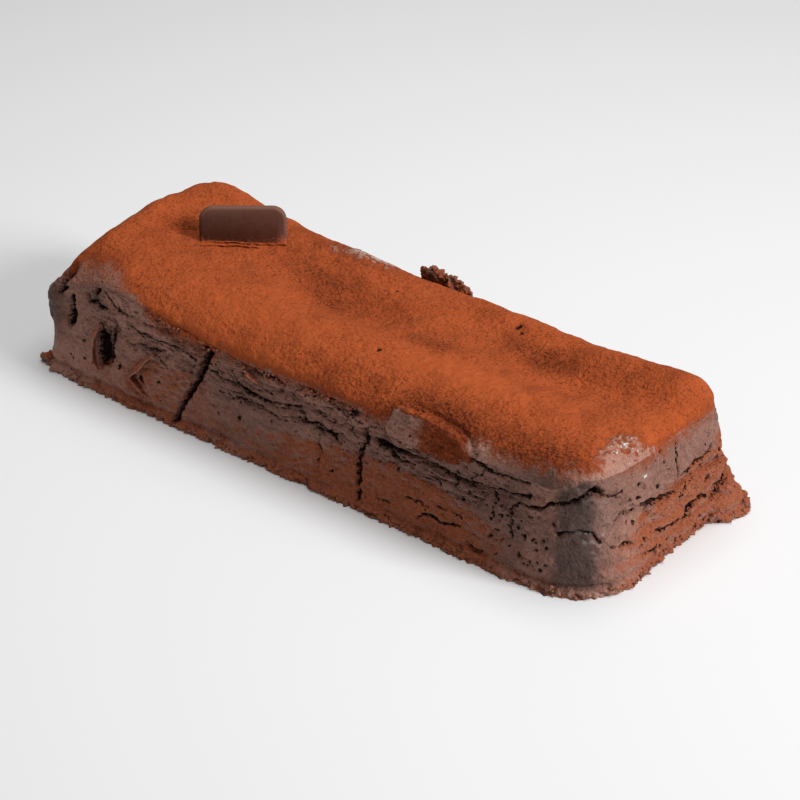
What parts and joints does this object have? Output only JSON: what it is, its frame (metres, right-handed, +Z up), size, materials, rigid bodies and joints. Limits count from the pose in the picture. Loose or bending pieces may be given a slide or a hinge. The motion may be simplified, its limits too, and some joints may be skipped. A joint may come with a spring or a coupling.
{
  "type": "flourless chocolate cake",
  "caption": "Long low bar of flourless chocolate cake with a cocoa-dusted, softly sunken top, cracked crumbly sides and a small plain chocolate plaque standing in its top.",
  "frame": {"origin": "middle of the cake's underside, on the surface that it stands on", "axes": "+X along the cake's length, with the plaque towards -X, +Y across it towards the higher back edge, +Z up"},
  "size_m": [0.2582, 0.0926, 0.0572],
  "materials": {
    "cocoa_dusted_cake": "matte cocoa powder over a grey-brown baked crust, with darker moist crumb in the cracks",
    "dark_chocolate": "smooth dark chocolate with a soft sheen"
  },
  "bodies": {
    "root": {"cake": "cocoa_dusted_cake", "chocolate_plaque": "dark_chocolate"}
  },
  "joints": []
}
